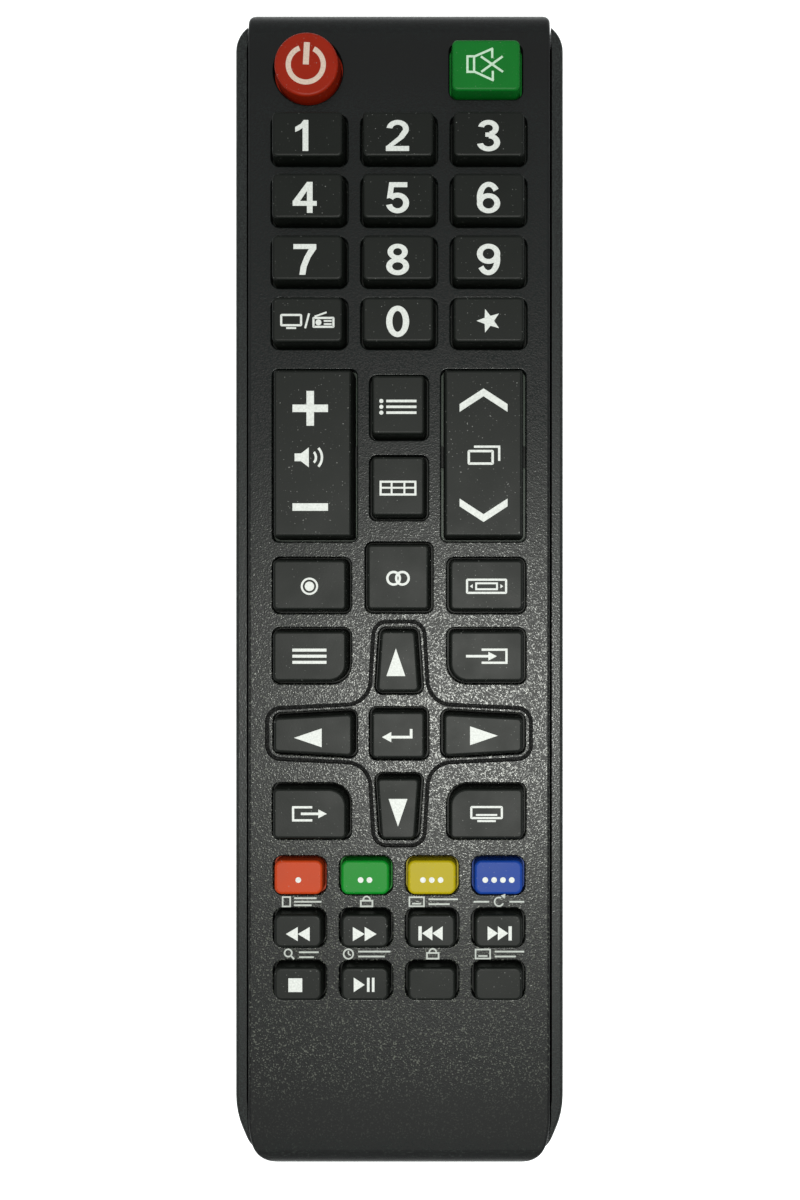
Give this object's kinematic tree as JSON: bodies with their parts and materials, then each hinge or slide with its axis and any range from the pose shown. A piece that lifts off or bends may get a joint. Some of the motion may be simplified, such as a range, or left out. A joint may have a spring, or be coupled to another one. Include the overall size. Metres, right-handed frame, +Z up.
{
  "type": "tv remote control",
  "caption": "Handheld infrared remote control: narrow face shell in a wider tray, rubber push keys, two rockers, an arrow pad and a sliding battery door.",
  "frame": {"origin": "middle of the object's box, on the surface that it lies on", "axes": "+Y along the remote towards its infrared end, +X to the right of the keys, +Z up out of the face"},
  "size_m": [0.047, 0.1654, 0.0221],
  "materials": {
    "cover_plastic": "fine spark-eroded grain",
    "tray_plastic": "fine spark-eroded grain",
    "door_plastic": "fine spark-eroded grain",
    "key_rubber": "matt silicone",
    "power_rubber": "matt silicone",
    "mute_rubber": "matt silicone",
    "red_rubber": "matt silicone",
    "green_rubber": "matt silicone",
    "yellow_rubber": "matt silicone",
    "blue_rubber": "matt silicone",
    "mat_rubber": "matt silicone",
    "board_laminate": "satin",
    "emitter_resin": "clear cast resin",
    "window_plastic": "polished",
    "chip_epoxy": "matt",
    "resonator_coat": "dipped",
    "capacitor_sleeve": "shrink sleeve",
    "resistor_ceramic": "matt",
    "contact_metal": "nickel plated",
    "spring_wire": "nickel plated",
    "cell_can": "satin sleeve",
    "screw_steel": "zinc plated"
  },
  "bodies": {
    "root": {"front_cover": "cover_plastic", "rear_cover": "tray_plastic", "keypad_mat": "mat_rubber", "circuit_board": "board_laminate", "ir_emitter": "emitter_resin", "ir_window": "window_plastic", "controller_chip": "chip_epoxy", "ceramic_resonator": "resonator_coat", "storage_capacitor": "capacitor_sleeve", "board_resistors": "resistor_ceramic", "bridge_contact": "contact_metal", "negative_contact": "contact_metal", "positive_contact": "contact_metal", "battery_springs": "spring_wire", "battery_left": "cell_can", "battery_right": "cell_can", "case_screw": "screw_steel"},
    "battery_door": {"battery_door": "door_plastic"},
    "power_key": {"power_key": "power_rubber"},
    "mute_key": {"mute_key": "mute_rubber"},
    "number_key_0": {"number_key_0": "key_rubber"},
    "number_key_1": {"number_key_1": "key_rubber"},
    "number_key_2": {"number_key_2": "key_rubber"},
    "number_key_3": {"number_key_3": "key_rubber"},
    "number_key_4": {"number_key_4": "key_rubber"},
    "number_key_5": {"number_key_5": "key_rubber"},
    "number_key_6": {"number_key_6": "key_rubber"},
    "number_key_7": {"number_key_7": "key_rubber"},
    "number_key_8": {"number_key_8": "key_rubber"},
    "number_key_9": {"number_key_9": "key_rubber"},
    "tv_radio_key": {"tv_radio_key": "key_rubber"},
    "favourite_key": {"favourite_key": "key_rubber"},
    "record_list_key": {"record_list_key": "key_rubber"},
    "guide_key": {"guide_key": "key_rubber"},
    "record_key": {"record_key": "key_rubber"},
    "sound_mode_key": {"sound_mode_key": "key_rubber"},
    "aspect_key": {"aspect_key": "key_rubber"},
    "menu_key": {"menu_key": "key_rubber"},
    "source_key": {"source_key": "key_rubber"},
    "up_key": {"up_key": "key_rubber"},
    "left_key": {"left_key": "key_rubber"},
    "enter_key": {"enter_key": "key_rubber"},
    "right_key": {"right_key": "key_rubber"},
    "down_key": {"down_key": "key_rubber"},
    "exit_key": {"exit_key": "key_rubber"},
    "display_key": {"display_key": "key_rubber"},
    "red_key": {"red_key": "red_rubber"},
    "green_key": {"green_key": "green_rubber"},
    "yellow_key": {"yellow_key": "yellow_rubber"},
    "blue_key": {"blue_key": "blue_rubber"},
    "rewind_key": {"rewind_key": "key_rubber"},
    "forward_key": {"forward_key": "key_rubber"},
    "previous_key": {"previous_key": "key_rubber"},
    "next_key": {"next_key": "key_rubber"},
    "stop_key": {"stop_key": "key_rubber"},
    "play_pause_key": {"play_pause_key": "key_rubber"},
    "spare_key_left": {"spare_key_left": "key_rubber"},
    "spare_key_right": {"spare_key_right": "key_rubber"},
    "volume_rocker": {"volume_rocker": "key_rubber"},
    "channel_rocker": {"channel_rocker": "key_rubber"}
  },
  "joints": [
    {"name": "battery_door_slide", "type": "slide", "parent": "root", "child": "battery_door", "axis": [0, -1, 0], "range_m": [0, 0.06]},
    {"name": "power_key_press", "type": "slide", "parent": "root", "child": "power_key", "axis": [0, 0, -1], "range_m": [0, 0.0009], "stiffness_N_per_m": 300},
    {"name": "mute_key_press", "type": "slide", "parent": "root", "child": "mute_key", "axis": [0, 0, -1], "range_m": [0, 0.0009], "stiffness_N_per_m": 300},
    {"name": "number_key_0_press", "type": "slide", "parent": "root", "child": "number_key_0", "axis": [0, 0, -1], "range_m": [0, 0.0009], "stiffness_N_per_m": 300},
    {"name": "number_key_1_press", "type": "slide", "parent": "root", "child": "number_key_1", "axis": [0, 0, -1], "range_m": [0, 0.0009], "stiffness_N_per_m": 300},
    {"name": "number_key_2_press", "type": "slide", "parent": "root", "child": "number_key_2", "axis": [0, 0, -1], "range_m": [0, 0.0009], "stiffness_N_per_m": 300},
    {"name": "number_key_3_press", "type": "slide", "parent": "root", "child": "number_key_3", "axis": [0, 0, -1], "range_m": [0, 0.0009], "stiffness_N_per_m": 300},
    {"name": "number_key_4_press", "type": "slide", "parent": "root", "child": "number_key_4", "axis": [0, 0, -1], "range_m": [0, 0.0009], "stiffness_N_per_m": 300},
    {"name": "number_key_5_press", "type": "slide", "parent": "root", "child": "number_key_5", "axis": [0, 0, -1], "range_m": [0, 0.0009], "stiffness_N_per_m": 300},
    {"name": "number_key_6_press", "type": "slide", "parent": "root", "child": "number_key_6", "axis": [0, 0, -1], "range_m": [0, 0.0009], "stiffness_N_per_m": 300},
    {"name": "number_key_7_press", "type": "slide", "parent": "root", "child": "number_key_7", "axis": [0, 0, -1], "range_m": [0, 0.0009], "stiffness_N_per_m": 300},
    {"name": "number_key_8_press", "type": "slide", "parent": "root", "child": "number_key_8", "axis": [0, 0, -1], "range_m": [0, 0.0009], "stiffness_N_per_m": 300},
    {"name": "number_key_9_press", "type": "slide", "parent": "root", "child": "number_key_9", "axis": [0, 0, -1], "range_m": [0, 0.0009], "stiffness_N_per_m": 300},
    {"name": "tv_radio_key_press", "type": "slide", "parent": "root", "child": "tv_radio_key", "axis": [0, 0, -1], "range_m": [0, 0.0009], "stiffness_N_per_m": 300},
    {"name": "favourite_key_press", "type": "slide", "parent": "root", "child": "favourite_key", "axis": [0, 0, -1], "range_m": [0, 0.0009], "stiffness_N_per_m": 300},
    {"name": "record_list_key_press", "type": "slide", "parent": "root", "child": "record_list_key", "axis": [0, 0, -1], "range_m": [0, 0.0009], "stiffness_N_per_m": 300},
    {"name": "guide_key_press", "type": "slide", "parent": "root", "child": "guide_key", "axis": [0, 0, -1], "range_m": [0, 0.0009], "stiffness_N_per_m": 300},
    {"name": "record_key_press", "type": "slide", "parent": "root", "child": "record_key", "axis": [0, 0, -1], "range_m": [0, 0.0009], "stiffness_N_per_m": 300},
    {"name": "sound_mode_key_press", "type": "slide", "parent": "root", "child": "sound_mode_key", "axis": [0, 0, -1], "range_m": [0, 0.0009], "stiffness_N_per_m": 300},
    {"name": "aspect_key_press", "type": "slide", "parent": "root", "child": "aspect_key", "axis": [0, 0, -1], "range_m": [0, 0.0009], "stiffness_N_per_m": 300},
    {"name": "menu_key_press", "type": "slide", "parent": "root", "child": "menu_key", "axis": [0, 0, -1], "range_m": [0, 0.0009], "stiffness_N_per_m": 300},
    {"name": "source_key_press", "type": "slide", "parent": "root", "child": "source_key", "axis": [0, 0, -1], "range_m": [0, 0.0009], "stiffness_N_per_m": 300},
    {"name": "up_key_press", "type": "slide", "parent": "root", "child": "up_key", "axis": [0, 0, -1], "range_m": [0, 0.0009], "stiffness_N_per_m": 300},
    {"name": "left_key_press", "type": "slide", "parent": "root", "child": "left_key", "axis": [0, 0, -1], "range_m": [0, 0.0009], "stiffness_N_per_m": 300},
    {"name": "enter_key_press", "type": "slide", "parent": "root", "child": "enter_key", "axis": [0, 0, -1], "range_m": [0, 0.0009], "stiffness_N_per_m": 300},
    {"name": "right_key_press", "type": "slide", "parent": "root", "child": "right_key", "axis": [0, 0, -1], "range_m": [0, 0.0009], "stiffness_N_per_m": 300},
    {"name": "down_key_press", "type": "slide", "parent": "root", "child": "down_key", "axis": [0, 0, -1], "range_m": [0, 0.0009], "stiffness_N_per_m": 300},
    {"name": "exit_key_press", "type": "slide", "parent": "root", "child": "exit_key", "axis": [0, 0, -1], "range_m": [0, 0.0009], "stiffness_N_per_m": 300},
    {"name": "display_key_press", "type": "slide", "parent": "root", "child": "display_key", "axis": [0, 0, -1], "range_m": [0, 0.0009], "stiffness_N_per_m": 300},
    {"name": "red_key_press", "type": "slide", "parent": "root", "child": "red_key", "axis": [0, 0, -1], "range_m": [0, 0.0009], "stiffness_N_per_m": 300},
    {"name": "green_key_press", "type": "slide", "parent": "root", "child": "green_key", "axis": [0, 0, -1], "range_m": [0, 0.0009], "stiffness_N_per_m": 300},
    {"name": "yellow_key_press", "type": "slide", "parent": "root", "child": "yellow_key", "axis": [0, 0, -1], "range_m": [0, 0.0009], "stiffness_N_per_m": 300},
    {"name": "blue_key_press", "type": "slide", "parent": "root", "child": "blue_key", "axis": [0, 0, -1], "range_m": [0, 0.0009], "stiffness_N_per_m": 300},
    {"name": "rewind_key_press", "type": "slide", "parent": "root", "child": "rewind_key", "axis": [0, 0, -1], "range_m": [0, 0.0009], "stiffness_N_per_m": 300},
    {"name": "forward_key_press", "type": "slide", "parent": "root", "child": "forward_key", "axis": [0, 0, -1], "range_m": [0, 0.0009], "stiffness_N_per_m": 300},
    {"name": "previous_key_press", "type": "slide", "parent": "root", "child": "previous_key", "axis": [0, 0, -1], "range_m": [0, 0.0009], "stiffness_N_per_m": 300},
    {"name": "next_key_press", "type": "slide", "parent": "root", "child": "next_key", "axis": [0, 0, -1], "range_m": [0, 0.0009], "stiffness_N_per_m": 300},
    {"name": "stop_key_press", "type": "slide", "parent": "root", "child": "stop_key", "axis": [0, 0, -1], "range_m": [0, 0.0009], "stiffness_N_per_m": 300},
    {"name": "play_pause_key_press", "type": "slide", "parent": "root", "child": "play_pause_key", "axis": [0, 0, -1], "range_m": [0, 0.0009], "stiffness_N_per_m": 300},
    {"name": "spare_key_left_press", "type": "slide", "parent": "root", "child": "spare_key_left", "axis": [0, 0, -1], "range_m": [0, 0.0009], "stiffness_N_per_m": 300},
    {"name": "spare_key_right_press", "type": "slide", "parent": "root", "child": "spare_key_right", "axis": [0, 0, -1], "range_m": [0, 0.0009], "stiffness_N_per_m": 300},
    {"name": "volume_rocker_tilt", "type": "hinge", "parent": "root", "child": "volume_rocker", "pos_m": [-0.0119, 0.01885, 0.0167], "axis": [1, 0, 0], "range_deg": [-5, 5], "stiffness_Nm_per_rad": 0.12},
    {"name": "channel_rocker_tilt", "type": "hinge", "parent": "root", "child": "channel_rocker", "pos_m": [0.0119, 0.01885, 0.0167], "axis": [1, 0, 0], "range_deg": [-5, 5], "stiffness_Nm_per_rad": 0.12}
  ]
}
